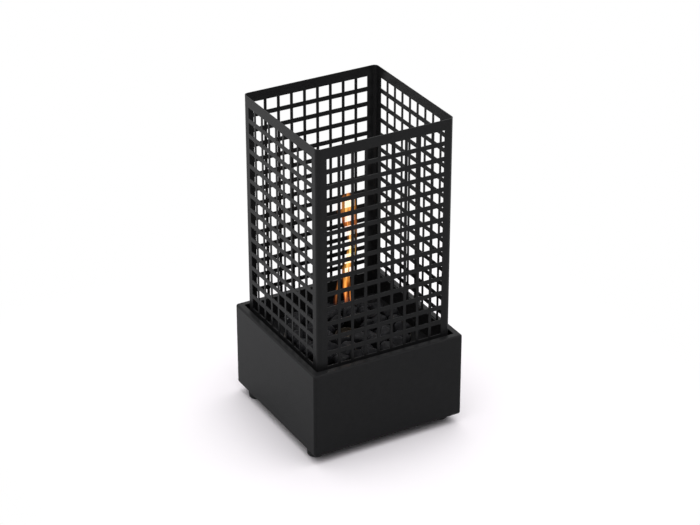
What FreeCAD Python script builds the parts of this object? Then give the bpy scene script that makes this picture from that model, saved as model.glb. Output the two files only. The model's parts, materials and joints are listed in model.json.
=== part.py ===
import FreeCAD, Part
import math
import os
import random

from FreeCAD import Vector

# Table-top bioethanol fireplace. A folded steel base stands on rubber feet and holds a shelf, the
# burner plate. A perforated cage with an open top stands on that plate, and a burner with a dish of
# black stones hangs in it. Millimetres. The origin is on the table under the middle of the base,
# +Z is up, +X is to the right and the front looks towards -Y.

# Base casing, folded sheet steel
base_side = 200.0
base_height = 109.0
base_sheet = 1.5
base_inside_corner = 2.0  # radius inside the corner of two walls
base_bend = 2.5  # radius outside the fold from a wall to a flange
rim_width = 8.0  # top flange, from the outer face
rim_opening_corner = 1.0
flange_past_foot = 3.0  # bottom flange past the axis of the feet

# Rubber feet and what holds them
foot_diameter = 22.0
foot_height = 12.0
foot_taper = 0.8  # the radius is this much less at the floor
foot_edge_bevel = 1.2
foot_inset_x = 14.5  # foot's axis from the side faces
foot_inset_y = 25.0  # foot's axis from the front and rear faces
foot_recess_diameter = 12.0
foot_recess_depth = 6.5
foot_washer_clearance = 0.6  # from the washer to the recess, on the radius
foot_washer_thickness = 1.0
foot_screw_diameter = 5.0
foot_screw_head_diameter = 9.0
foot_screw_head_height = 3.0
foot_screw_head_bevel = 1.0
foot_screw_tail = 2.0  # shank past the nut
foot_nut_width = 8.0  # across flats
foot_nut_height = 4.0
screw_clearance = 0.2  # round a screw's shank, on the radius

# Plates that drop in through the rim
base_plate_sheet = 1.5
burner_plate_sheet = 1.5
burner_plate_depth = 29.0  # top of the burner plate below the rim
insert_clearance = 0.8  # from a plate's edge to the rim's opening
insert_corner_clip = 3.0

# Angles on the inner walls that carry the burner plate
bracket_sheet = 1.5
bracket_length = 110.0
bracket_reach = 24.0
bracket_drop = 18.0
bracket_inside_bend = 1.0
plate_screw_diameter = 4.0
plate_screw_head_diameter = 7.5
plate_screw_head_height = 2.2
plate_screw_head_bevel = 1.0
plate_screw_length = 8.0
plate_screw_offset = 40.0  # along the bracket from its middle
plate_screw_margin = 1.5  # from the screw's head to the cage

# Perforated cage
cage_rim_gap = 3.5  # from the cage to the rim's opening
cage_above_rim = 279.0
cage_sheet = 1.0
cage_inside_bend = 4.5
hole_side = 13.8
hole_bar_across = 3.5  # upright bar between two holes
hole_bar_up = 5.45  # level bar between two holes
hole_side_margin = 6.0  # least plain strip between a fold and the holes
hole_top_border = 12.7
cage_tab_width = 24.0  # tabs lanced out of the burner plate keep the cage in place
cage_tab_height = 8.0
cage_tab_clearance = 0.4

# Burner
cup_diameter = 96.0
cup_floor_gap = 7.0  # from the base plate to the cup
cup_sheet = 1.0
cup_bevel = 5.0  # sloping step from the cup's floor to its wall
cup_hole_clearance = 1.0  # from the cup to the hole in the burner plate, on the radius
dish_cage_gap = 11.5  # from the dish to the cage
dish_sheet = 1.0
dish_lip_height = 7.0
dish_bevel = 3.0  # sloping step from the dish's floor to its lip
mouth_bore = 28.0
mouth_wall = 1.2
mouth_height = 8.0  # above the dish's floor
mouth_depth = 2.5  # below the dish's floor
mouth_flange_width = 3.0
mouth_flange_thickness = 1.0
mouth_clearance = 0.2
gauze_thickness = 0.8
gauze_depth = 5.0  # below the mouth's edge
gauze_seat_width = 1.5
gauze_clearance = 0.2
gauze_ring_width = 1.3
gauze_ring_height = 1.2
gauze_ring_gap = 4.0  # the ring is open here, so that it can be squeezed and let out
wool_clearance = 0.4
wool_headroom = 0.5  # from the wool to the underside of the mouth

# Stones, in rings on the dish's floor
stone_rings = 3
stone_bed_clearance = 1.5  # from the mouth to the first ring
stone_gap = 0.4
stone_least_height = 17.0
stone_most_height = 25.0
stone_corners = 6
stone_levels = ((0.0, 0.70), (0.32, 1.0), (0.72, 0.84), (1.0, 0.42))  # shares of height and width
stone_lean = 0.3  # sideways shift of a stone's top, as a share of its radius
stone_least_reach = 0.84  # a stone's nearest corner, as a share of its radius
stone_corner_wander = 0.2  # of a corner from its even place, as a share of the step to the next
stone_ring_twist = 0.35  # of each ring against the one inside it, as a share of a stone's step
stone_seed = 11

# Edges and levels nearer than this count as in line
in_line = 0.001

# A sheet's inner corners lie this share of its thickness from the outer ones at a 45 degree step
bevel_share = math.sqrt(2) - 1

# Levels and half sizes that follow from the sizes above
base_bottom = foot_height
rim_top = base_bottom + base_height
wall_face = base_side / 2 - base_sheet
rim_opening = base_side - 2 * rim_width
insert_side = rim_opening - 2 * insert_clearance
bottom_flange_width = max(foot_inset_x, foot_inset_y) + flange_past_foot
foot_washer_radius = foot_recess_diameter / 2 - foot_washer_clearance
base_floor = base_bottom + base_sheet
base_plate_top = base_floor + base_plate_sheet
plate_top = rim_top - burner_plate_depth
plate_bottom = plate_top - burner_plate_sheet
cage_top = rim_top + cage_above_rim
cage_face = rim_opening / 2 - cage_rim_gap
cage_flat = cage_face - cage_inside_bend - cage_sheet  # half length of a panel's flat
cage_inner_face = cage_face - cage_sheet
plate_screw_line = cage_inner_face - plate_screw_margin - plate_screw_head_diameter / 2
cup_radius = cup_diameter / 2
cup_bottom = base_plate_top + cup_floor_gap
cup_floor = cup_bottom + cup_sheet
dish_radius = cage_inner_face - dish_cage_gap
dish_floor = plate_top + dish_sheet
mouth_radius = mouth_bore / 2 + mouth_wall
mouth_top = dish_floor + mouth_height
mouth_bottom = dish_floor - mouth_depth
gauze_bottom = mouth_top - gauze_depth
gauze_radius = mouth_bore / 2 - gauze_clearance

foot_x = base_side / 2 - foot_inset_x
foot_y = base_side / 2 - foot_inset_y
foot_places = {
    "front_left": (-foot_x, -foot_y),
    "front_right": (foot_x, -foot_y),
    "rear_right": (foot_x, foot_y),
    "rear_left": (-foot_x, foot_y),
}
sides = ("front", "right", "rear", "left")  # each a quarter turn after the one before

nodes = {}


def cylinder(radius, bottom, top, x=0.0, y=0.0):
    return Part.makeCylinder(radius, top - bottom, Vector(x, y, bottom))


def block(x0, x1, y0, y1, z0, z1):
    return Part.makeBox(x1 - x0, y1 - y0, z1 - z0, Vector(x0, y0, z0))


def quarter_turned(shape, quarters):
    copy = shape.copy()
    copy.rotate(Vector(0, 0, 0), Vector(0, 0, 1), 90 * quarters)
    return copy


# Square block about the Z axis with rounded upright corners
def square_block(side, bottom, top, corner_radius):
    half = side / 2
    body = block(-half, half, -half, half, bottom, top)
    uprights = [edge for edge in body.Edges if edge.BoundBox.ZLength > 0.5 * (top - bottom)]
    return body.makeFillet(corner_radius, uprights)


# Flat plate about the Z axis with clipped corners
def clipped_plate(side, bottom, top, clip):
    half = side / 2
    short = half - clip
    corners = []
    for quarter in range(4):
        turn = FreeCAD.Rotation(Vector(0, 0, 1), 90 * quarter)
        corners.append(turn.multVec(Vector(-short, -half, bottom)))
        corners.append(turn.multVec(Vector(short, -half, bottom)))
    outline = Part.makePolygon(corners + corners[:1])
    return Part.Face(outline).extrude(Vector(0, 0, top - bottom))


# Solid of revolution about Z from points (radius, height), all joined by straight lines
def turned(points):
    corners = [Vector(radius, 0, height) for radius, height in points]
    outline = Part.makePolygon(corners + corners[:1])
    return Part.Face(outline).revolve(Vector(0, 0, 0), Vector(0, 0, 1), 360)


# Straight edges along X that run at this y and z
def edges_along_x(shape, y, z):
    found = []
    for edge in shape.Edges:
        box = edge.BoundBox
        if box.YLength < in_line and box.ZLength < in_line:
            if abs(box.YMin - y) < in_line and abs(box.ZMin - z) < in_line:
                found.append(edge)
    return found


# Casing: walls, rim and bottom flanges of one sheet thickness, with rounded folds
def make_base_shell():
    outside = square_block(base_side, base_bottom, rim_top, base_inside_corner + base_sheet)
    level_edges = [edge for edge in outside.Edges if edge.BoundBox.ZLength < in_line]
    outside = outside.makeFillet(base_bend, level_edges)
    inside = square_block(2 * wall_face, base_floor, rim_top - base_sheet, base_inside_corner)
    middle = (base_bottom + rim_top) / 2
    rim_cut = square_block(rim_opening, middle, rim_top + base_sheet, rim_opening_corner)
    bottom_opening = base_side - 2 * bottom_flange_width
    bottom_cut = square_block(bottom_opening, base_bottom - base_sheet, middle, rim_opening_corner)
    shell = outside.cut(inside).cut(rim_cut).cut(bottom_cut)
    return shell.cut(foot_bores(base_bottom - base_sheet, middle))


# Bores for the four foot screws between two levels
def foot_bores(bottom, top):
    radius = foot_screw_diameter / 2 + screw_clearance
    return Part.makeCompound([cylinder(radius, bottom, top, x, y) for x, y in foot_places.values()])


def make_base_plate():
    plate = clipped_plate(insert_side, base_floor, base_plate_top, insert_corner_clip)
    return plate.cut(foot_bores(base_bottom, base_plate_top + base_sheet))


# Rubber foot, a little narrower at the floor, with a recess for the washer and the screw's head
def make_foot(x, y):
    bore = foot_screw_diameter / 2 + screw_clearance
    recess = foot_recess_diameter / 2
    floor_radius = foot_diameter / 2 - foot_taper
    foot = turned(
        [
            (bore, foot_height),
            (foot_diameter / 2, foot_height),
            (floor_radius, foot_edge_bevel),
            (floor_radius - foot_edge_bevel, 0),
            (recess, 0),
            (recess, foot_recess_depth),
            (bore, foot_recess_depth),
        ]
    )
    foot.translate(Vector(x, y, 0))
    return foot


def make_foot_washer(x, y):
    bottom = foot_recess_depth - foot_washer_thickness
    washer = cylinder(foot_washer_radius, bottom, foot_recess_depth, x, y)
    return washer.cut(cylinder(foot_screw_diameter / 2 + screw_clearance, 0, foot_height, x, y))


def make_foot_screw(x, y):
    head_top = foot_recess_depth - foot_washer_thickness
    head_bottom = head_top - foot_screw_head_height
    shank_top = base_plate_top + foot_nut_height + foot_screw_tail
    screw = bevelled_screw(
        foot_screw_head_diameter / 2, foot_screw_head_bevel, head_bottom, head_top,
        foot_screw_diameter / 2, shank_top,
    )
    screw.translate(Vector(x, y, 0))
    return screw


# Screw on the Z axis: its head lies between the first two levels, its shank ends at the last
def bevelled_screw(head_radius, bevel, head_end, head_seat, shank_radius, shank_end):
    inward = math.copysign(bevel, head_seat - head_end)
    return turned(
        [
            (0, head_end),
            (head_radius - bevel, head_end),
            (head_radius, head_end + inward),
            (head_radius, head_seat),
            (shank_radius, head_seat),
            (shank_radius, shank_end),
            (0, shank_end),
        ]
    )


def make_foot_nut(x, y):
    corner_radius = foot_nut_width / math.sqrt(3)
    corners = []
    for corner in range(6):
        angle = math.radians(60 * corner)
        corners.append(Vector(corner_radius * math.cos(angle), corner_radius * math.sin(angle), 0))
    nut = Part.Face(Part.makePolygon(corners + corners[:1])).extrude(Vector(0, 0, foot_nut_height))
    nut = nut.cut(cylinder(foot_screw_diameter / 2 + screw_clearance, 0, foot_nut_height))
    nut.translate(Vector(x, y, base_plate_top))
    return nut


# Bore through plate and bracket for the front bracket's screw
def plate_screw_bore():
    radius = plate_screw_diameter / 2 + screw_clearance
    bottom = plate_bottom - bracket_drop
    top = plate_top + burner_plate_sheet
    return cylinder(radius, bottom, top, plate_screw_offset, -plate_screw_line)


# Front bracket: an angle whose level leg lies under the burner plate and whose other leg is on the wall
def make_bracket():
    half = bracket_length / 2
    low = plate_bottom - bracket_drop
    inner = -wall_face + bracket_reach
    angle = block(-half, half, -wall_face, inner, low, plate_bottom)
    angle = angle.cut(
        block(-half, half, -wall_face + bracket_sheet, inner, low, plate_bottom - bracket_sheet)
    )
    outer_edge = edges_along_x(angle, -wall_face, plate_bottom)
    angle = angle.makeFillet(bracket_inside_bend + bracket_sheet, outer_edge)
    inner_edge = edges_along_x(angle, -wall_face + bracket_sheet, plate_bottom - bracket_sheet)
    angle = angle.makeFillet(bracket_inside_bend, inner_edge)
    return angle.cut(plate_screw_bore())


# Screw of the front bracket, driven from above
def make_plate_screw():
    screw = bevelled_screw(
        plate_screw_head_diameter / 2, plate_screw_head_bevel,
        plate_top + plate_screw_head_height, plate_top,
        plate_screw_diameter / 2, plate_top - plate_screw_length,
    )
    screw.translate(Vector(plate_screw_offset, -plate_screw_line, 0))
    return screw


# Shelf with the burner's hole and, on each side, a tab cut free and bent up just inside the cage
def make_burner_plate():
    plate = clipped_plate(insert_side, plate_bottom, plate_top, insert_corner_clip)
    plate = plate.cut(cylinder(cup_radius + cup_hole_clearance, plate_bottom, plate_top))
    half = cage_tab_width / 2
    tab_outer = -cage_inner_face + cage_tab_clearance
    tab_inner = tab_outer + burner_plate_sheet
    slot = block(-half, half, tab_inner, tab_inner + cage_tab_height, plate_bottom, plate_top)
    tab = block(-half, half, tab_outer, tab_inner, plate_bottom, plate_top + cage_tab_height)
    for quarter in range(4):
        plate = plate.cut(quarter_turned(slot, quarter))
        plate = plate.fuse(quarter_turned(tab, quarter))
        plate = plate.cut(quarter_turned(plate_screw_bore(), quarter))
    return plate.removeSplitter()


# Columns of holes across a panel and rows down to the rim, as many as fit
def hole_places():
    pitch_across = hole_side + hole_bar_across
    pitch_up = hole_side + hole_bar_up
    columns = int((2 * cage_flat - 2 * hole_side_margin + hole_bar_across) / pitch_across)
    rows = int((cage_above_rim - hole_top_border + hole_bar_up) / pitch_up)
    first_x = -(columns * pitch_across - hole_bar_across) / 2
    first_z = cage_top - hole_top_border - hole_side
    places = []
    for row in range(rows):
        for column in range(columns):
            places.append((first_x + column * pitch_across, first_z - row * pitch_up))
    return places


# Rectangle in the plane of the front panel's outer face
def upright_rectangle(x0, x1, z0, z1):
    corners = [
        Vector(x0, -cage_face, z0),
        Vector(x1, -cage_face, z0),
        Vector(x1, -cage_face, z1),
        Vector(x0, -cage_face, z1),
    ]
    return Part.makePolygon(corners + corners[:1])


# Front panel: a holed sheet with a quarter-round fold at its right end, which meets the next panel
def make_cage_panel():
    outline = upright_rectangle(-cage_flat, cage_flat, plate_top, cage_top)
    holes = [upright_rectangle(x, x + hole_side, z, z + hole_side) for x, z in hole_places()]
    holed_face = Part.makeFace([outline] + holes, "Part::FaceMakerCheese")
    sheet = holed_face.extrude(Vector(0, cage_sheet, 0))
    centre = Vector(cage_flat, -cage_flat, plate_top)
    slant = Vector(math.sqrt(0.5), -math.sqrt(0.5), 0)
    outer = cage_inside_bend + cage_sheet
    inner = cage_inside_bend
    down = Vector(0, -1, 0)
    right = Vector(1, 0, 0)
    fold_edges = [
        Part.Arc(centre + down * outer, centre + slant * outer, centre + right * outer).toShape(),
        Part.LineSegment(centre + right * outer, centre + right * inner).toShape(),
        Part.Arc(centre + right * inner, centre + slant * inner, centre + down * inner).toShape(),
        Part.LineSegment(centre + down * inner, centre + down * outer).toShape(),
    ]
    fold = Part.Face(Part.Wire(fold_edges)).extrude(Vector(0, 0, cage_top - plate_top))
    return sheet.fuse(fold).removeSplitter()


# Drawn cup, open at the top where the dish closes it
def make_burner_cup():
    step = cup_bevel + cup_sheet * bevel_share
    inner_radius = cup_radius - cup_sheet
    return turned(
        [
            (0, cup_bottom),
            (cup_radius - cup_bevel, cup_bottom),
            (cup_radius, cup_bottom + cup_bevel),
            (cup_radius, plate_top),
            (inner_radius, plate_top),
            (inner_radius, cup_bottom + step),
            (cup_radius - step, cup_floor),
            (0, cup_floor),
        ]
    )


# Spun dish that lies on the plate and on the cup's edge
def make_burner_dish():
    step = dish_bevel + dish_sheet * bevel_share
    hole = mouth_radius + mouth_clearance
    lip_top = plate_top + dish_lip_height
    return turned(
        [
            (hole, plate_top),
            (dish_radius - dish_bevel, plate_top),
            (dish_radius, plate_top + dish_bevel),
            (dish_radius, lip_top),
            (dish_radius - dish_sheet, lip_top),
            (dish_radius - dish_sheet, plate_top + step),
            (dish_radius - step, dish_floor),
            (hole, dish_floor),
        ]
    )


# Collar in the dish's hole, with a flange on the dish's floor and a seat for the gauze
def make_burner_mouth():
    bore = mouth_bore / 2
    flange = mouth_radius + mouth_flange_width
    flange_top = dish_floor + mouth_flange_thickness
    return turned(
        [
            (bore, mouth_top),
            (mouth_radius, mouth_top),
            (mouth_radius, flange_top),
            (flange, flange_top),
            (flange, dish_floor),
            (mouth_radius, dish_floor),
            (mouth_radius, mouth_bottom),
            (bore - gauze_seat_width, mouth_bottom),
            (bore - gauze_seat_width, gauze_bottom),
            (bore, gauze_bottom),
        ]
    )


def make_gauze():
    return cylinder(gauze_radius, gauze_bottom, gauze_bottom + gauze_thickness)


# Open spring ring that keeps the gauze on its seat
def make_gauze_ring():
    bottom = gauze_bottom + gauze_thickness
    top = bottom + gauze_ring_height
    ring = cylinder(gauze_radius, bottom, top)
    ring = ring.cut(cylinder(gauze_radius - gauze_ring_width, bottom, top))
    half_gap = gauze_ring_gap / 2
    return ring.cut(block(0, gauze_radius, -half_gap, half_gap, bottom, top))


def make_wool():
    radius = cup_radius - cup_sheet - wool_clearance
    top = mouth_bottom - wool_headroom
    return turned(
        [
            (0, cup_floor),
            (radius - cup_bevel, cup_floor),
            (radius, cup_floor + cup_bevel),
            (radius, top),
            (0, top),
        ]
    )


def flat_face(corners):
    return Part.Face(Part.makePolygon(corners + corners[:1]))


# Angular stone: one uneven polygon, repeated wider and narrower at four levels up to a leaning top
def make_stone(x, y, radius, height, dice):
    turn = dice.uniform(0, 360)
    corners = []
    for corner in range(stone_corners):
        wander = dice.uniform(-stone_corner_wander, stone_corner_wander)
        angle = math.radians(turn + 360 / stone_corners * (corner + wander))
        reach = radius * dice.uniform(stone_least_reach, 1.0)
        corners.append(Vector(reach * math.cos(angle), reach * math.sin(angle), 0))
    heading = dice.uniform(0, 2 * math.pi)
    lean = Vector(math.cos(heading), math.sin(heading), 0) * (stone_lean * radius)
    levels = []
    for rise, width in stone_levels:
        centre = Vector(x, y, dish_floor + rise * height) + lean * (rise * (1 - width))
        levels.append([centre + corner * width for corner in corners])
    faces = [flat_face(levels[0]), flat_face(levels[-1])]
    for below, above in zip(levels, levels[1:]):
        for corner in range(stone_corners):
            after = (corner + 1) % stone_corners
            faces.append(flat_face([below[corner], below[after], above[after], above[corner]]))
    return Part.Solid(Part.Shell(faces))


# Stones in rings between the mouth and the dish's lip, sorted by the side on which they lie
def make_stones():
    dice = random.Random(stone_seed)
    bed_inner = mouth_radius + stone_bed_clearance
    bed_outer = dish_radius - dish_sheet - stone_gap
    ring_width = (bed_outer - bed_inner) / stone_rings
    widest = (ring_width - stone_gap) / 2
    groups = {side: [] for side in sides}
    for ring in range(stone_rings):
        ring_radius = bed_inner + (ring + 0.5) * ring_width
        count = int(math.pi / math.asin((widest + stone_gap / 2) / ring_radius))
        for place in range(count):
            angle = 360 / count * (place + stone_ring_twist * ring)
            height = dice.uniform(stone_least_height, stone_most_height)
            x = ring_radius * math.cos(math.radians(angle))
            y = ring_radius * math.sin(math.radians(angle))
            side = sides[int((angle + 135) % 360 // 90)]
            groups[side].append(make_stone(x, y, widest, height, dice))
    return groups


nodes["base_shell"] = make_base_shell()
nodes["base_plate"] = make_base_plate()
for corner_name, (place_x, place_y) in foot_places.items():
    nodes["foot_" + corner_name] = make_foot(place_x, place_y)
nodes["foot_washers"] = Part.makeCompound([make_foot_washer(x, y) for x, y in foot_places.values()])
nodes["foot_screws"] = Part.makeCompound([make_foot_screw(x, y) for x, y in foot_places.values()])
nodes["foot_nuts"] = Part.makeCompound([make_foot_nut(x, y) for x, y in foot_places.values()])

bracket = make_bracket()
panel = make_cage_panel()
for quarter, side_name in enumerate(sides):
    nodes["ledge_bracket_" + side_name] = quarter_turned(bracket, quarter)
    nodes["cage_" + side_name] = quarter_turned(panel, quarter)
plate_screw = make_plate_screw()
nodes["plate_screws"] = Part.makeCompound([quarter_turned(plate_screw, quarter) for quarter in range(4)])
nodes["burner_plate"] = make_burner_plate()

nodes["burner_cup"] = make_burner_cup()
nodes["burner_dish"] = make_burner_dish()
nodes["burner_mouth"] = make_burner_mouth()
nodes["burner_wool"] = make_wool()
nodes["burner_gauze"] = make_gauze()
nodes["gauze_ring"] = make_gauze_ring()
for side_name, stones in make_stones().items():
    nodes["stones_" + side_name] = Part.makeCompound(stones)

os.makedirs("parts", exist_ok=True)
for node_name, shape in nodes.items():
    shape.exportStep("parts/" + node_name + ".step")
    print(node_name, len(shape.Solids), "solids", round(shape.Volume, 1), "mm3", shape.isValid())
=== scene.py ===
import json
import math

import bpy
import numpy as np
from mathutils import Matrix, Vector


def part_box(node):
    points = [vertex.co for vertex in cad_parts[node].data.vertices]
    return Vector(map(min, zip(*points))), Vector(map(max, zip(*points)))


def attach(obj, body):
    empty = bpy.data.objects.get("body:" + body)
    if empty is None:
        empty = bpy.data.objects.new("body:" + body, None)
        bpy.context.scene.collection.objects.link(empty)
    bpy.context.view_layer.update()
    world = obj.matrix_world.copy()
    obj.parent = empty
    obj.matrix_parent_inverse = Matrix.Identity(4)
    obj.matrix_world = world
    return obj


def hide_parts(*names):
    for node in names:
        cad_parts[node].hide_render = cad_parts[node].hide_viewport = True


# A table-top bioethanol fireplace: finishes for its steel, rubber and stone, finer stones, gauze, wool and
# screws, the flame, and a pale studio round it. Lengths are in metres.
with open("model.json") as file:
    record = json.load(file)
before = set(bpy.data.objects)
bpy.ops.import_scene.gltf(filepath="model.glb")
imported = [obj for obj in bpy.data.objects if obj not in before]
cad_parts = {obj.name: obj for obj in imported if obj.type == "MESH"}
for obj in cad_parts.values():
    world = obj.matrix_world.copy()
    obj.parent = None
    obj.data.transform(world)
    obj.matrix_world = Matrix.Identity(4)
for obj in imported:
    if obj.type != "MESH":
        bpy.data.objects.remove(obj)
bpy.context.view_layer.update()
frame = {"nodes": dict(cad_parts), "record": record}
mm = 0.001
fullTurn = 2 * math.pi
sideNames = ("front", "right", "rear", "left")
print("frame loaded:", len(frame["nodes"]), "nodes")


# Lowest and highest corner of a CAD node
def boxOf(node):
    low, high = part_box(node)
    return np.array(low), np.array(high)


# sRGB hex to linear colour, with the standard's own numbers
def hexColour(code):
    srgb = np.array([int(code[i:i + 2], 16) for i in (1, 3, 5)]) / 255
    linear = np.where(srgb <= 0.04045, srgb / 12.92, ((srgb + 0.055) / 1.055) ** 2.4)
    return (*linear.tolist(), 1.0)


# One node with its settings. Inputs take a value or an output socket of another node, and the stops of a
# colour ramp are (position, hex) or (position, plain number).
def addNode(tree, kind, inputs=None, stops=(), **settings):
    node = tree.nodes.new(kind)
    for name, value in settings.items():
        setattr(node, name, value)
    for index, (position, code) in enumerate(stops):
        elements = node.color_ramp.elements
        element = elements[index] if index < len(elements) else elements.new(position)
        element.position = position
        element.color = hexColour(code) if isinstance(code, str) else (code, code, code, 1.0)
    for name, value in (inputs or {}).items():
        socket = node.inputs[name]
        if isinstance(value, bpy.types.NodeSocket):
            tree.links.new(value, socket)
        else:
            socket.default_value = value
    return node


# Material without nodes yet
def newFinish(name):
    material = bpy.data.materials.new(name)
    material.use_nodes = True
    material.node_tree.nodes.clear()
    return material, material.node_tree


# Scale of a texture on coordinates in metres whose features are this many millimetres wide
def scaleFor(millimetres):
    return 1.0 / (millimetres * mm)


# Piece at the origin, from points and faces
def newPiece(name, points, faces, finish, smooth=True):
    mesh = bpy.data.meshes.new(name)
    mesh.from_pydata(points.reshape(-1, 3).tolist(), [], faces)
    mesh.validate()
    mesh.update()
    if smooth:
        mesh.polygons.foreach_set("use_smooth", np.ones(len(mesh.polygons), bool))
    mesh.materials.append(finish)
    piece = bpy.data.objects.new(name, mesh)
    bpy.context.scene.collection.objects.link(piece)
    return piece


# Quads between rings of points that close on themselves, counted from the point numbered first
def tubeFaces(rings, around, first):
    ring = np.arange(rings - 1)[:, None] * around
    here = np.arange(around)[None, :]
    after = (here + 1) % around
    quads = np.stack([ring + here, ring + after, ring + around + after, ring + around + here], -1)
    return (quads.reshape(-1, 4) + first).tolist()


# The same with a flat cap on the first and on the last ring
def cappedTubeFaces(rings, around, first):
    firstRing = np.arange(around) + first
    lastRing = firstRing + (rings - 1) * around
    return tubeFaces(rings, around, first) + [firstRing[::-1].tolist(), lastRing.tolist()]


# Powder-coated steel: sprayed polyester baked on, so a fine orange-peel skin, dull and even black
powderCoat = {
    "peel": {"Scale": scaleFor(1.1), "Detail": 2.0, "Roughness": 0.5},  # about 0.5 mm, drawn coarser to show
    "mottle": {"Scale": scaleFor(9.0), "Detail": 4.0, "Roughness": 0.6},
    "tones": [(0.35, "#1f1f20"), (0.75, "#222223")],
    "dull": {"From Min": 0.3, "From Max": 0.7, "To Min": 0.27, "To Max": 0.38},
    "bump": {"Strength": 0.35, "Distance": 0.06 * mm},
    "specular": 0.11,
}


def makePowderCoat(name, spec):
    material, tree = newFinish(name)
    place = addNode(tree, "ShaderNodeTexCoord").outputs["Object"]
    mottle = addNode(tree, "ShaderNodeTexNoise", {"Vector": place, **spec["mottle"]}).outputs["Fac"]
    peel = addNode(tree, "ShaderNodeTexNoise", {"Vector": place, **spec["peel"]}).outputs["Fac"]
    colour = addNode(tree, "ShaderNodeValToRGB", {"Fac": mottle}, stops=spec["tones"])
    dull = addNode(tree, "ShaderNodeMapRange", {"Value": peel, **spec["dull"]})
    bump = addNode(tree, "ShaderNodeBump", {"Height": peel, **spec["bump"]})
    shader = addNode(tree, "ShaderNodeBsdfPrincipled", {
        "Base Color": colour.outputs["Color"], "Roughness": dull.outputs["Result"],
        "Normal": bump.outputs["Normal"], "Specular IOR Level": spec["specular"]})
    addNode(tree, "ShaderNodeOutputMaterial", {"Surface": shader.outputs["BSDF"]})
    return material


# Moulded rubber: dull black with a faint grain from the mould
footRubber = {
    "grain": {"Scale": scaleFor(1.4), "Detail": 3.0},
    "tones": [(0.4, "#121213"), (0.8, "#1d1d1e")],
    "bump": {"Strength": 0.3, "Distance": 0.1 * mm},
    "roughness": 0.78,
}


def makeRubber(name, spec):
    material, tree = newFinish(name)
    place = addNode(tree, "ShaderNodeTexCoord").outputs["Object"]
    grain = addNode(tree, "ShaderNodeTexNoise", {"Vector": place, **spec["grain"]}).outputs["Fac"]
    colour = addNode(tree, "ShaderNodeValToRGB", {"Fac": grain}, stops=spec["tones"])
    bump = addNode(tree, "ShaderNodeBump", {"Height": grain, **spec["bump"]})
    shader = addNode(tree, "ShaderNodeBsdfPrincipled", {
        "Base Color": colour.outputs["Color"], "Roughness": spec["roughness"],
        "Normal": bump.outputs["Normal"]})
    addNode(tree, "ShaderNodeOutputMaterial", {"Surface": shader.outputs["BSDF"]})
    return material


# Steel sheet, wire and screws, zinc plated or stainless: bright with fine drawn lines. The stainless is
# browned in clouds towards the flame, between two heights.
zincSteel = {
    "drawn": (1.0, 1.0, 0.15),  # lines run upwards
    "line": {"Scale": scaleFor(0.8), "Detail": 4.0, "Roughness": 0.6},
    "tones": [(0.35, "#a9abad"), (0.7, "#9b9da1")],
    "dull": {"To Min": 0.28, "To Max": 0.42},
}
hotStainless = {
    "drawn": (1.0, 1.0, 0.15),
    "line": {"Scale": scaleFor(1.2), "Detail": 4.0, "Roughness": 0.6},
    "tones": [(0.35, "#86827d"), (0.7, "#77726c")],
    "dull": {"To Min": 0.28, "To Max": 0.46},
    "browned": "#57493d",
    "heat": {"From Min": 55 * mm, "From Max": 105 * mm},
    "cloud": {"Scale": scaleFor(14.0), "Detail": 3.0},
}


def makeSteel(name, spec):
    material, tree = newFinish(name)
    place = addNode(tree, "ShaderNodeTexCoord").outputs["Object"]
    stretch = addNode(tree, "ShaderNodeMapping", {"Vector": place, "Scale": spec["drawn"]})
    line = addNode(tree, "ShaderNodeTexNoise", {"Vector": stretch.outputs["Vector"], **spec["line"]})
    tones = addNode(tree, "ShaderNodeValToRGB", {"Fac": line.outputs["Fac"]}, stops=spec["tones"])
    colour = tones.outputs["Color"]
    dull = addNode(tree, "ShaderNodeMapRange", {"Value": line.outputs["Fac"], **spec["dull"]})
    if "browned" in spec:
        height = addNode(tree, "ShaderNodeSeparateXYZ", {"Vector": place}).outputs["Z"]
        heat = addNode(tree, "ShaderNodeMapRange", {"Value": height, **spec["heat"]})
        cloud = addNode(tree, "ShaderNodeTexNoise", {"Vector": place, **spec["cloud"]})
        patchy = addNode(tree, "ShaderNodeMath", {
            0: heat.outputs["Result"], 1: cloud.outputs["Fac"]}, operation="MULTIPLY")
        # inputs 0, 6 and 7 and output 2 are those of a mix of colours
        browned = addNode(tree, "ShaderNodeMix", {
            0: patchy.outputs["Value"], 6: colour, 7: hexColour(spec["browned"])}, data_type="RGBA")
        colour = browned.outputs[2]
    shader = addNode(tree, "ShaderNodeBsdfPrincipled", {
        "Base Color": colour, "Roughness": dull.outputs["Result"], "Metallic": 1.0})
    addNode(tree, "ShaderNodeOutputMaterial", {"Surface": shader.outputs["BSDF"]})
    return material


# Black basalt, broken: flat faces with a half gloss, greyer where they are chipped
blackStone = {
    "grain": {"Scale": scaleFor(1.6), "Detail": 6.0, "Roughness": 0.7},
    "chip": {"Scale": scaleFor(7.0), "Detail": 3.0, "Roughness": 0.55},
    "tones": [(0.40, "#1d1d1f"), (0.72, "#2d2d30")],
    "dull": {"From Min": 0.3, "From Max": 0.7, "To Min": 0.30, "To Max": 0.54},
    "bump": {"Strength": 0.55, "Distance": 0.5 * mm},
    "specular": 0.09,
}


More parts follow.
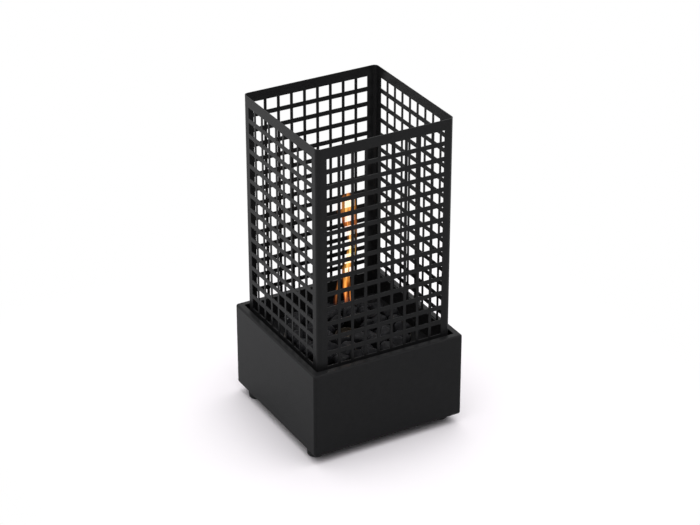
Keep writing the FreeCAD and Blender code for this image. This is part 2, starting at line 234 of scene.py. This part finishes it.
def makeStone(name, spec):
    material, tree = newFinish(name)
    place = addNode(tree, "ShaderNodeTexCoord").outputs["Object"]
    grain = addNode(tree, "ShaderNodeTexNoise", {"Vector": place, **spec["grain"]}).outputs["Fac"]
    chip = addNode(tree, "ShaderNodeTexNoise", {"Vector": place, **spec["chip"]}).outputs["Fac"]
    colour = addNode(tree, "ShaderNodeValToRGB", {"Fac": chip}, stops=spec["tones"])
    dull = addNode(tree, "ShaderNodeMapRange", {"Value": grain, **spec["dull"]})
    rough = addNode(tree, "ShaderNodeMath", {0: grain, 1: chip}, operation="ADD")
    bump = addNode(tree, "ShaderNodeBump", {"Height": rough.outputs["Value"], **spec["bump"]})
    shader = addNode(tree, "ShaderNodeBsdfPrincipled", {
        "Base Color": colour.outputs["Color"], "Roughness": dull.outputs["Result"],
        "Normal": bump.outputs["Normal"], "Specular IOR Level": spec["specular"]})
    addNode(tree, "ShaderNodeOutputMaterial", {"Surface": shader.outputs["BSDF"]})
    return material


# Ceramic wool: off-white loose fibre, singed a little
ceramicWool = {
    "fibre": {"Scale": scaleFor(0.9), "Detail": 6.0, "Distortion": 2.5},
    "tones": [(0.35, "#8d8271"), (0.6, "#d8d2c4")],
    "bump": {"Strength": 0.8, "Distance": 0.6 * mm},
    "roughness": 0.95,
}


def makeWool(name, spec):
    material, tree = newFinish(name)
    place = addNode(tree, "ShaderNodeTexCoord").outputs["Object"]
    fibre = addNode(tree, "ShaderNodeTexNoise", {"Vector": place, **spec["fibre"]}).outputs["Fac"]
    colour = addNode(tree, "ShaderNodeValToRGB", {"Fac": fibre}, stops=spec["tones"])
    bump = addNode(tree, "ShaderNodeBump", {"Height": fibre, **spec["bump"]})
    shader = addNode(tree, "ShaderNodeBsdfPrincipled", {
        "Base Color": colour.outputs["Color"], "Roughness": spec["roughness"],
        "Normal": bump.outputs["Normal"]})
    addNode(tree, "ShaderNodeOutputMaterial", {"Surface": shader.outputs["BSDF"]})
    return material


coatFinish = makePowderCoat("matteBlackPowderCoat", powderCoat)
rubberFinish = makeRubber("mouldedFootRubber", footRubber)
zincFinish = makeSteel("zincPlatedSteel", zincSteel)
stainlessFinish = makeSteel("heatBrownedStainless", hotStainless)
stoneFinish = makeStone("brokenBasalt", blackStone)
woolFinish = makeWool("ceramicFibreWool", ceramicWool)

finishOfSlot = {
    "powder_coat": coatFinish, "cage_coat": coatFinish, "foot_rubber": rubberFinish,
    "zinc_steel": zincFinish, "stainless_steel": stainlessFinish, "ceramic_wool": woolFinish,
    "black_stone": stoneFinish,
}
for subpart in frame["record"]["subparts"]:
    mesh = frame["nodes"][subpart["node"]].data
    mesh.materials.clear()
    mesh.materials.append(finishOfSlot[subpart["material_slot"]])
print("finishes set on the CAD nodes")


# Broken stones. Each is a ball whose radius is one over the p-norm of how far its direction leans to
# each of its faces, so flat faces meet in slightly worn edges.
stones = {
    "seed": 5, "rings": 3, "gap": 0.4 * mm, "ringTwist": 0.35, "dishSheet": 1.0 * mm,
    "bedClearance": 1.5 * mm, "underMouth": 3.0 * mm,  # room round the mouth, and reach inwards from there
    "faces": 14, "faceDepth": (0.62, 1.0), "longest": 1.25, "around": 32, "down": 17, "sharpness": 26.0,
    "spread": (1.06, 1.26), "height": (17.0 * mm, 24.5 * mm),  # spread over 1 crowds them in their rings
    # loose stones on a sunflower spiral: those lying on the full rings, and chips that fill the gaps
    "loose": {
        "top": {"count": 26, "from": 0.16, "to": 0.86, "size": (6.0 * mm, 8.5 * mm),
                "lift": (12.0 * mm, 15.5 * mm)},
        "chips": {"count": 84, "from": 0.09, "to": 0.93, "size": (4.2 * mm, 6.4 * mm),
                  "lift": (3.0 * mm, 5.0 * mm)},
    },
    "looseShape": (1.0, 0.9, 0.8), "goldenAngle": math.pi * (3 - math.sqrt(5)),
}
dishLow, dishHigh = boxOf("burner_dish")
dishFloor = dishLow[2] + stones["dishSheet"]
mouthRadius = boxOf("burner_mouth")[1][0]
stoneTop = max(boxOf("stones_" + name)[1][2] for name in sideNames)


# Unit directions of a ball's grid: poles first and last, rings between
def ballGrid(around, down):
    tilt = np.linspace(0, math.pi, down + 1)[1:-1]
    turn = np.linspace(0, fullTurn, around, endpoint=False)
    tilt, turn = np.meshgrid(tilt, turn, indexing="ij")
    rings = np.stack([np.sin(tilt) * np.cos(turn), np.sin(tilt) * np.sin(turn), np.cos(tilt)], -1)
    poles = np.array([[0.0, 0.0, 1.0], [0.0, 0.0, -1.0]])
    return np.concatenate([poles[:1], rings.reshape(-1, 3), poles[1:]])


# Faces of that grid, with a fan at each pole
def ballFaces(around, down, first):
    rings = down - 1
    here = np.arange(around)
    after = (here + 1) % around
    last = 1 + (rings - 1) * around
    top = np.stack([np.zeros(around, int), 1 + here, 1 + after], -1) + first
    bottom = np.stack([np.full(around, last + around), last + after, last + here], -1) + first
    quads = [face[::-1] for face in tubeFaces(rings, around, first + 1)]
    return top.tolist() + quads + bottom.tolist()


# Where the stones lie, each row a centre and three half sizes: full rings on the dish's floor, then the
# loose ones
def stonePlaces(spec, dice):
    inner = mouthRadius + spec["bedClearance"] - spec["underMouth"]
    outer = dishHigh[0] - spec["dishSheet"] - spec["gap"]
    width = (outer - inner) / spec["rings"]
    reach = (width - spec["gap"]) / 2
    places = []
    for ring in range(spec["rings"]):
        radius = inner + (ring + 0.5) * width
        count = int(math.pi / math.asin((reach + spec["gap"] / 2) / radius))
        turn = fullTurn / count * (np.arange(count) + spec["ringTwist"] * ring)
        tall = dice.uniform(*spec["height"], count)
        wide = reach * dice.uniform(*spec["spread"], count)
        centre = np.stack([radius * np.cos(turn), radius * np.sin(turn), dishFloor + tall / 2], -1)
        places.append(np.concatenate([centre, np.stack([wide, wide, tall / 2], -1)], 1))
    for loose in spec["loose"].values():
        turn = spec["goldenAngle"] * np.arange(loose["count"])
        radius = np.sqrt(np.linspace(loose["from"], loose["to"], loose["count"])) * outer
        size = dice.uniform(*loose["size"], loose["count"])
        lift = dishLow[2] + dice.uniform(*loose["lift"], loose["count"])
        centre = np.stack([radius * np.cos(turn), radius * np.sin(turn), lift], -1)
        places.append(np.concatenate([centre, size[:, None] * np.array(spec["looseShape"])], 1))
    return np.concatenate(places)


def buildStones(spec):
    dice = np.random.default_rng(spec["seed"])
    places = stonePlaces(spec, dice)
    count = len(places)
    grid = ballGrid(spec["around"], spec["down"])
    normals = dice.normal(size=(count, spec["faces"], 3))
    normals /= np.linalg.norm(normals, axis=-1, keepdims=True)
    depth = dice.uniform(*spec["faceDepth"], (count, spec["faces"]))
    lean = np.maximum(np.einsum("mk,nfk->nmf", grid, normals), 0) / depth[:, None, :]
    shares = np.maximum((lean ** spec["sharpness"]).sum(-1), spec["longest"] ** -spec["sharpness"])
    radius = shares ** (-1 / spec["sharpness"])  # no longer than longest
    points = grid[None] * radius[..., None]
    size = np.abs(points).max(1, keepdims=True)
    points = points / size * places[:, None, 3:] + places[:, None, :3]
    points[..., 2] = np.clip(points[..., 2], dishFloor, stoneTop)  # seated flat on the dish
    # quarter of the plan that each lies in: 0 front, 1 right, 2 rear, 3 left
    quarter = ((np.degrees(np.arctan2(places[:, 1], places[:, 0])) + 135) % 360 // 90).astype(int)
    for index, name in enumerate(sideNames):
        own = points[quarter == index]
        faces = []
        for number in range(len(own)):
            faces += ballFaces(spec["around"], spec["down"], number * len(grid))
        piece = newPiece("stones." + name, own, faces, stoneFinish)
        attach(piece, "burner")
        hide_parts("stones_" + name)
    print("stones:", count)


buildStones(stones)

# Woven gauze: wires that rise and dip over each other as a cosine along their length, cut to a disc
gauze = {
    "pitch": 2.0 * mm, "wire": 0.30 * mm, "wave": 0.24 * mm, "sides": 6, "stepsPerPitch": 4, "leastSteps": 4,
}


def buildGauze(spec):
    low, high = boxOf("burner_gauze")
    radius = high[0] - spec["wire"]
    middle = (low[2] + high[2]) / 2
    lines = np.arange(-radius + spec["pitch"] / 2, radius, spec["pitch"])
    angle = np.linspace(0, fullTurn, spec["sides"], endpoint=False)
    section = spec["wire"] / 2 * np.stack([np.cos(angle), np.sin(angle)])
    points, faces = [], []
    first = 0
    for across in (False, True):
        for number, offset in enumerate(lines):
            half = math.sqrt(max(radius ** 2 - offset ** 2, 0))
            steps = max(int(2 * half / spec["pitch"] * spec["stepsPerPitch"]), spec["leastSteps"])
            along = np.linspace(-half, half, steps)[:, None]
            sign = -1 if (number + across) % 2 else 1
            wave = sign * spec["wave"] * np.cos(math.pi * (along + radius) / spec["pitch"])
            level = middle + wave + section[1]
            beside = offset + section[0] + 0 * along
            ahead = along + 0 * angle
            pair = (beside, ahead) if across else (ahead, beside)
            points.append(np.stack([*pair, level], -1).reshape(-1, 3))
            tube = cappedTubeFaces(steps, spec["sides"], first)
            faces += [face[::-1] for face in tube] if across else tube
            first += steps * spec["sides"]
    piece = newPiece("wireGauze", np.concatenate(points), faces, stainlessFinish)
    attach(piece, "burner")
    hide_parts("burner_gauze")


buildGauze(gauze)

# Wool plug: a drum turned from a section, whose wall swells in soft lumps, the sum of two sines round it, the
# first of them times a sine along the section
wool = {
    "around": 96, "rings": 40, "lump": 0.5 * mm,
    # shares of the radius and of the height: out along the floor, up the wall, in along the top
    "section": [(0.02, 0), (0.9, 0), (1, 0.08), (1, 0.5), (1, 0.94), (0.9, 1), (0.45, 1), (0.02, 1)],
    "lobes": 7, "bands": 23, "fineLobes": 13, "fineShift": 2, "fineShare": 0.6,
}


def buildWool(spec):
    low, high = boxOf("burner_wool")
    radius = high[0] - spec["lump"]
    turn = np.linspace(0, fullTurn, spec["around"], endpoint=False)
    share = np.linspace(0, 1, spec["rings"])[:, None]
    section = np.array(spec["section"])
    knots = np.linspace(0, 1, len(section))
    reach = np.interp(share, knots, section[:, 0]) * radius
    level = low[2] + np.interp(share, knots, section[:, 1]) * (high[2] - low[2] - spec["lump"])
    lumps = np.sin(spec["lobes"] * turn) * np.sin(spec["bands"] * share)
    lumps = lumps + np.sin(spec["fineLobes"] * turn + spec["fineShift"]) * spec["fineShare"]
    wide = reach + spec["lump"] / 2 * lumps * (reach / radius)
    points = np.stack([wide * np.cos(turn), wide * np.sin(turn), level + 0 * turn], -1)
    piece = newPiece("woolPlug", points, cappedTubeFaces(spec["rings"], spec["around"], 0), woolFinish)
    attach(piece, "burner")
    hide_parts("burner_wool")


buildWool(wool)
print("gauze and wool built")

# Socket screws: rings turned from the tip of the shank, over the head and down to the socket's floor. On the
# shank the radius falls by the thread's depth times a triangle wave that climbs one pitch in a turn. In the
# socket a ring is a hexagon: half its width over the cosine of the angle to the middle of the nearest flat.
screws = {
    "around": 36, "stepsPerPitch": 6, "tip": 0.8, "roundSteps": 6, "sharpFrom": math.radians(35),
    "kinds": {  # up is 1 where the head is on top, and -1 where it is below
        "plateScrews": {
            "node": "plate_screws", "up": 1, "shank": 4.0 * mm, "pitch": 0.7 * mm, "thread": 0.25 * mm,
            "head": 7.5 * mm, "headHeight": 2.2 * mm, "round": 1.0 * mm, "socket": 2.5 * mm,
            "socketDepth": 1.3 * mm},
        "footScrews": {
            "node": "foot_screws", "up": -1, "shank": 5.0 * mm, "pitch": 0.8 * mm, "thread": 0.3 * mm,
            "head": 9.0 * mm, "headHeight": 3.0 * mm, "round": 1.0 * mm, "socket": 3.0 * mm,
            "socketDepth": 1.6 * mm},
    },
}


# Middles of a node's four screws, one in each quarter of the plan
def screwPlaces(node):
    mesh = frame["nodes"][node].data
    points = np.zeros(3 * len(mesh.vertices))
    mesh.vertices.foreach_get("co", points)
    points = points.reshape(-1, 3)
    quarter = 2 * (points[:, 0] > 0) + (points[:, 1] > 0)
    return [(points[quarter == q].min(0) + points[quarter == q].max(0)) / 2 for q in range(4)]


def buildScrews(name, spec):
    low, high = boxOf(spec["node"])
    top, up = spec["headHeight"], spec["up"]
    seat = high[2] - top if up > 0 else low[2] + top
    length = high[2] - low[2] - top
    turn = np.linspace(0, fullTurn, spec["around"], endpoint=False)
    climb = np.linspace(-length, 0, int(length / spec["pitch"] * spec["stepsPerPitch"]))
    wave = np.abs(2 * ((climb[:, None] / spec["pitch"] - turn / fullTurn) % 1) - 1)
    taper = np.interp(climb, [-length, -length + spec["pitch"]], [spec["tip"], 1])[:, None]
    shank = (spec["shank"] / 2 - spec["thread"] * wave) * taper
    bend = np.linspace(0, math.pi / 2, spec["roundSteps"])
    edge = spec["head"] / 2 - spec["round"] * (1 - np.cos(bend))
    head = np.concatenate([edge[:1], edge])[:, None] + 0 * turn
    halfFlat = fullTurn / 6 / 2  # half of one of the hexagon's six flats
    flatAngle = (turn + halfFlat) % (2 * halfFlat) - halfFlat
    socket = spec["socket"] / 2 / np.cos(flatAngle)
    radius = np.concatenate([shank, head, socket[None], socket[None]])
    level = np.concatenate([
        climb, [0], top - spec["round"] * (1 - np.sin(bend)), [top, top - spec["socketDepth"]]])
    screw = np.stack([
        radius * np.cos(turn), up * radius * np.sin(turn), seat + up * level[:, None] + 0 * turn], -1)
    rings = len(radius)
    points, faces = [], []
    for index, place in enumerate(screwPlaces(spec["node"])):
        points.append(screw.reshape(-1, 3) + [place[0], place[1], 0])
        faces += cappedTubeFaces(rings, spec["around"], index * rings * spec["around"])
    piece = newPiece(name, np.concatenate(points), faces, zincFinish)
    piece.data.set_sharp_from_angle(angle=spec["sharpFrom"])
    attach(piece, "base")
    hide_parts(spec["node"])


for kindName, kind in screws["kinds"].items():
    buildScrews(kindName, {**screws, **kind})
print("screws built")

# Flame. Each tongue is a tube round a line that sways as it rises: the knots give its height above the
# table, sideways sway and half width, joined by a smooth curve. The width ripples with a sine of the turn and
# the height. Shells of one tongue share its line.
flame = {
    "around": 28, "steps": 90, "swayTurn": -29.4,  # the sway lies across the picture
    "depthShare": 0.8, "leastHalf": 0.1 * mm,
    "ripple": 0.10, "rippleLobes": 3, "rippleTwist": 90, "rippleFrom": 1.0 * mm,  # twist in radians a metre
    "tongues": {  # share of the glow, and knots in millimetres
        "main": (1.0, [
            (101, 0, 4.0), (125, -0.4, 3.2), (146, -1.6, 2.6), (158, -2.8, 3.0), (170, -3.2, 3.3),
            (190, -0.7, 5.4), (211, 2.6, 3.5), (231, 2.9, 3.8), (250, 1.8, 6.6), (268, 0.6, 10.4),
            (282, 0.2, 7.4), (292, 0, 0.3)]),
        "beside": (0.85, [
            (120, 4.6, 0.3), (140, 3.8, 1.0), (153, 2.7, 1.2), (164, 1.8, 1.2), (174, 1.3, 1.3),
            (188, 1.2, 0.8), (198, 1.6, 0.2)]),
        "left": (0.30, [
            (101, -9.0, 2.0), (125, -13.0, 2.8), (145, -13.6, 3.4), (165, -11.6, 2.2), (185, -10.6, 0.2)]),
        "right": (0.24, [
            (196, 7.6, 0.2), (215, 8.6, 1.2), (240, 9.4, 1.5), (262, 9.4, 1.5), (286, 8.6, 0.2)]),
        "wisp": (0.12, [
            (258, -10.5, 0.2), (266, -11.0, 2.0), (274, -11.0, 2.2), (284, -10.0, 0.2)]),
    },
    "shells": {  # from the edge in: size, strength and colours of the glow from foot to tip
        "flameEdge": {"size": 1.0, "strength": 2.2, "glow": [
            (0.20, "#c8583c"), (0.35, "#f07c2c"), (0.57, "#ffa83c"), (0.79, "#e8702c"), (0.90, "#ffa040"),
            (1, "#d8682c")]},
        "flameMantle": {"size": 0.80, "strength": 2.2, "glow": [
            (0.20, "#d8643c"), (0.35, "#fa9438"), (0.57, "#ffbe58"), (0.79, "#f08438"), (0.90, "#ffb04c"),
            (1, "#e88034")]},
        "flameBody": {"size": 0.58, "strength": 2.8, "glow": [
            (0.20, "#e87c48"), (0.35, "#ffa848"), (0.57, "#ffd070"), (0.79, "#f8984c"), (0.90, "#ffbc60"),
            (1, "#f09040")]},
        "flameHeart": {"size": 0.34, "strength": 4.6, "glow": [
            (0.20, "#f09058"), (0.35, "#ffb85c"), (0.57, "#ffe08c"), (0.79, "#ffb060"), (0.90, "#ffcc74"),
            (1, "#f8a050")]},
    },
    # each shell hides this little of what is behind it, so white stays white through the flame
    "cover": [(0.20, 0.0), (0.25, 0.05), (0.31, 0.095), (0.50, 0.085), (0.58, 0.12), (0.66, 0.095),
              (0.92, 0.085), (1, 0.02)],
    "streak": {"Scale": scaleFor(2.2), "Detail": 1.0}, "streakStretch": (1.0, 4.0, 16.0),
    "thinned": {"From Min": 0.40, "From Max": 0.56, "To Min": 0.05, "To Max": 1.0},
}


# Burning gas: glows, hides little behind it, thins out at its foot and tip and has upright streaks. Its map
# along the flame has the tongue's share of the glow as U and the height from foot to tip as V.
def makeFlame(name, spec):
    material, tree = newFinish(name)
    along = addNode(tree, "ShaderNodeUVMap", uv_map="along")
    parts = addNode(tree, "ShaderNodeSeparateXYZ", {"Vector": along.outputs["UV"]})
    place = addNode(tree, "ShaderNodeTexCoord").outputs["Object"]
    upright = addNode(tree, "ShaderNodeMapping", {
        "Vector": place, "Rotation": (0, 0, math.radians(spec["swayTurn"])), "Scale": spec["streakStretch"]},
        vector_type="TEXTURE")
    streak = addNode(tree, "ShaderNodeTexNoise", {"Vector": upright.outputs["Vector"], **spec["streak"]})
    glow = addNode(tree, "ShaderNodeValToRGB", {"Fac": parts.outputs["Y"]}, stops=spec["glow"])
    cover = addNode(tree, "ShaderNodeValToRGB", {"Fac": parts.outputs["Y"]}, stops=spec["cover"])
    thinned = addNode(tree, "ShaderNodeMapRange", {"Value": streak.outputs["Fac"], **spec["thinned"]})
    share = addNode(tree, "ShaderNodeMath", {
        0: thinned.outputs["Result"], 1: parts.outputs["X"]}, operation="MULTIPLY")
    alpha = addNode(tree, "ShaderNodeMath", {
        0: cover.outputs["Color"], 1: share.outputs["Value"]}, operation="MULTIPLY")
    shader = addNode(tree, "ShaderNodeBsdfPrincipled", {
        "Base Color": hexColour("#000000"), "Roughness": 1.0, "Specular IOR Level": 0.0,
        "Emission Color": glow.outputs["Color"], "Emission Strength": spec["strength"],
        "Alpha": alpha.outputs["Value"]})
    addNode(tree, "ShaderNodeOutputMaterial", {"Surface": shader.outputs["BSDF"]})
    return material


# Cubic through the knots with slopes from their neighbours
def smoothThrough(knots, steps):
    knots = np.array(knots, float)
    slope = np.gradient(knots, axis=0)
    at = np.linspace(0, len(knots) - 1, steps)
    cell = np.minimum(at.astype(int), len(knots) - 2)
    u = (at - cell)[:, None]
    a, b = knots[cell], knots[cell + 1]
    slopeA, slopeB = slope[cell], slope[cell + 1]
    curve = (2 * u**3 - 3 * u**2 + 1) * a + (u**3 - 2 * u**2 + u) * slopeA
    return curve + (3 * u**2 - 2 * u**3) * b + (u**3 - u**2) * slopeB


def buildFlame(spec):
    turn = np.linspace(0, fullTurn, spec["around"], endpoint=False)
    sway = math.radians(spec["swayTurn"])
    side = np.array([math.cos(sway), math.sin(sway), 0])
    deep = np.array([-math.sin(sway), math.cos(sway), 0])
    upwards = np.array([0, 0, 1])
    ring = side * np.cos(turn)[:, None] + deep * np.sin(turn)[:, None] * spec["depthShare"]
    mainKnots = spec["tongues"]["main"][1]
    foot, tip = mainKnots[0][0] * mm, mainKnots[-1][0] * mm
    for name, shell in spec["shells"].items():
        points, faces, along = [], [], []
        for index, (glowShare, knots) in enumerate(spec["tongues"].values()):
            height, offset, half = (smoothThrough(knots, spec["steps"]) * mm).T
            half = np.maximum(half, spec["leastHalf"])[:, None] * shell["size"]
            wave = np.sin(spec["rippleLobes"] * turn + height[:, None] * spec["rippleTwist"])
            ripple = 1 + spec["ripple"] * wave * (half > spec["rippleFrom"])
            centre = side * offset[:, None] + upwards * height[:, None]
            tube = centre[:, None] + ring * (half * ripple)[..., None]
            points.append(tube.reshape(-1, 3))
            faces += cappedTubeFaces(spec["steps"], spec["around"], index * spec["steps"] * spec["around"])
            upShare = np.repeat((height - foot) / (tip - foot), spec["around"])
            along.append(np.stack([np.full_like(upShare, glowShare), upShare], -1))
        gas = makeFlame(name.replace("flame", "burningGas"), {**spec, **shell})
        piece = newPiece(name, np.concatenate(points), faces, gas)
        layer = piece.data.uv_layers.new(name="along")
        corner = np.zeros(len(piece.data.loops), int)
        piece.data.loops.foreach_get("vertex_index", corner)
        layer.data.foreach_set("uv", np.concatenate(along)[corner].ravel())
        piece.visible_shadow = False
        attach(piece, "burner")
    print("flame built")


buildFlame(flame)

pureWhite = (1, 1, 1, 1)


# 1 for rays of these kinds, otherwise 0
def seenBy(tree, *kinds):
    path = addNode(tree, "ShaderNodeLightPath")
    seen = path.outputs[kinds[0]]
    for kind in kinds[1:]:
        either = addNode(tree, "ShaderNodeMath", {0: seen, 1: path.outputs[kind]}, operation="MAXIMUM")
        seen = either.outputs["Value"]
    return seen


# Studio floor: pale under the object, and white further out to the eye, gloss and glass. Near the object it
# is painted greyer to gloss and to bounced light: painted shade in what the object reflects and gets back.
studioFloor = {
    "reach": 6.0, "level": -0.1 * mm, "colour": "#fbf7fb", "paintedShadeGrey": "#c4c4c6", "roughness": 0.9,
    # where it starts to go over to white, and where it is white to the eye and to gloss: the larger of the
    # distances from the middle along x and y
    "liftFrom": 0.09, "liftTo": 0.44, "glossTo": 0.75,
}


def buildFloor(spec):
    reach, level = spec["reach"], spec["level"]
    corners = np.array([
        [-reach, -reach, level], [reach, -reach, level], [reach, reach, level], [-reach, reach, level]])
    material, tree = newFinish("paleStudioFloor")
    eye = seenBy(tree, "Is Camera Ray", "Is Transmission Ray")
    gloss = seenBy(tree, "Is Glossy Ray")
    # painted shade: gloss and bounced light see a darker grey copy of the floor, and the eye sees its own
    # colour
    tint = addNode(tree, "ShaderNodeValToRGB", {"Fac": eye}, stops=[(0, spec["paintedShadeGrey"]), (1, spec["colour"])])
    shader = addNode(tree, "ShaderNodeBsdfPrincipled", {
        "Base Color": tint.outputs["Color"], "Roughness": spec["roughness"], "Specular IOR Level": 0.0})
    white = addNode(tree, "ShaderNodeEmission", {"Color": pureWhite, "Strength": 1.0})
    place = addNode(tree, "ShaderNodeTexCoord").outputs["Object"]
    either = addNode(tree, "ShaderNodeVectorMath", {0: place}, operation="ABSOLUTE")
    axes = addNode(tree, "ShaderNodeSeparateXYZ", {"Vector": either.outputs["Vector"]})
    away = addNode(tree, "ShaderNodeMath", {0: axes.outputs["X"], 1: axes.outputs["Y"]}, operation="MAXIMUM")
    share = 0.0
    # gloss turns white further out than the eye, so nearer the object its reflections show the painted grey
    # shade
    for seen, whiteFrom in ((eye, spec["liftTo"]), (gloss, spec["glossTo"])):
        lift = addNode(tree, "ShaderNodeMapRange", {
            "Value": away.outputs["Value"], "From Min": spec["liftFrom"], "From Max": whiteFrom},
            interpolation_type="SMOOTHSTEP")
        share = addNode(tree, "ShaderNodeMath", {
            0: seen, 1: lift.outputs["Result"], 2: share}, operation="MULTIPLY_ADD").outputs["Value"]
    mixed = addNode(tree, "ShaderNodeMixShader", {
        "Fac": share, 1: shader.outputs["BSDF"], 2: white.outputs["Emission"]})
    addNode(tree, "ShaderNodeOutputMaterial", {"Surface": mixed.outputs["Shader"]})
    newPiece("studioFloor", corners, [[0, 1, 2, 3]], material, smooth=False)


# Studio sky: white to the eye, gloss and glass. Its light falls from above and is strongest on the right.
studioSky = {
    "brightSide": (0.7, 0.0, 0.7), "strength": (0.82, 2.45),  # on the dark and on the bright side
    "from": 0.30, "full": 1.0,  # sines of the heights where the light starts and where it is whole
}


def buildSky(spec):
    world = bpy.data.worlds.new("whiteStudio")
    world.use_nodes = True
    bpy.context.scene.world = world
    tree = world.node_tree
    tree.nodes.clear()
    seen = seenBy(tree, "Is Camera Ray", "Is Glossy Ray", "Is Transmission Ray")
    towards = addNode(tree, "ShaderNodeTexCoord").outputs["Generated"]
    bright = Vector(spec["brightSide"]).normalized()
    side = addNode(tree, "ShaderNodeVectorMath", {0: towards, 1: bright}, operation="DOT_PRODUCT")
    glow = addNode(tree, "ShaderNodeMapRange", {
        "Value": side.outputs["Value"], "From Min": -1.0, "From Max": 1.0,
        "To Min": spec["strength"][0], "To Max": spec["strength"][1]})
    height = addNode(tree, "ShaderNodeSeparateXYZ", {"Vector": towards})
    higher = addNode(tree, "ShaderNodeMapRange", {
        "Value": height.outputs["Z"], "From Min": spec["from"], "From Max": spec["full"]},
        interpolation_type="SMOOTHSTEP")
    lit = addNode(tree, "ShaderNodeMath", {
        0: glow.outputs["Result"], 1: higher.outputs["Result"]}, operation="MULTIPLY")
    level = addNode(tree, "ShaderNodeMapRange", {
        "Value": seen, "To Min": lit.outputs["Value"], "To Max": 1.0})
    sky = addNode(tree, "ShaderNodeBackground", {"Color": pureWhite, "Strength": level.outputs["Result"]})
    addNode(tree, "ShaderNodeOutputWorld", {"Surface": sky.outputs["Background"]})


# Lamp or camera at a place, looking along a direction
def placeHolder(name, data, place, direction):
    holder = bpy.data.objects.new(name, data)
    bpy.context.scene.collection.objects.link(holder)
    holder.location = place
    holder.rotation_mode = "QUATERNION"
    holder.rotation_quaternion = Vector(direction).to_track_quat("-Z", "Y")
    return holder


# Two soft lamps, from the left and from above, turned to near the object's middle
lamps = {
    "keyLeft": {"place": (-2.0, 0.3, 1.4), "size": 1.2, "watts": 1.9},
    "topSoft": {"place": (0.0, 0.1, 2.3), "size": 2.6, "watts": 4.0},
}
lampTarget = np.array([0, 0, 0.18])


def buildLamps(spec):
    for name, lamp in spec.items():
        light = bpy.data.lights.new(name, "AREA")
        light.energy = lamp["watts"]
        light.size = lamp["size"]
        placeHolder(name, light, lamp["place"], lampTarget - np.array(lamp["place"]))


# Camera: the photograph's angle in degrees, its focal length in pixels of the 700 wide frame, and how far the
# point that it looks at lies to the right of and above the middle of the base's underside, in the picture
camera = {
    "azimuth": -29.376, "elevation": 28.005, "distance": 2.813, "focalPixels": 2308.94, "frameWidth": 700,
    "sensor": 36.0, "right": 0.00264, "up": 0.1638, "clip": (0.05, 50),
}


def buildCamera(spec):
    azimuth, elevation = math.radians(spec["azimuth"]), math.radians(spec["elevation"])
    back = np.array([
        math.sin(azimuth) * math.cos(elevation), -math.cos(azimuth) * math.cos(elevation),
        math.sin(elevation)])
    right = np.array([math.cos(azimuth), math.sin(azimuth), 0])
    up = np.cross(back, right)
    data = bpy.data.cameras.new("photoCamera")
    data.sensor_width = spec["sensor"]
    data.sensor_fit = "HORIZONTAL"
    data.lens = spec["sensor"] * spec["focalPixels"] / spec["frameWidth"]
    data.clip_start, data.clip_end = spec["clip"]
    underside = [0, 0, boxOf("base_shell")[0][2]]
    place = back * spec["distance"] + right * spec["right"] + up * spec["up"] + underside
    bpy.context.scene.camera = placeHolder("photoCamera", data, place, -back)


buildFloor(studioFloor)
buildSky(studioSky)
buildLamps(lamps)
buildCamera(camera)
bpy.context.scene.view_settings.view_transform = "Standard"
print("stage, lamps and camera set")
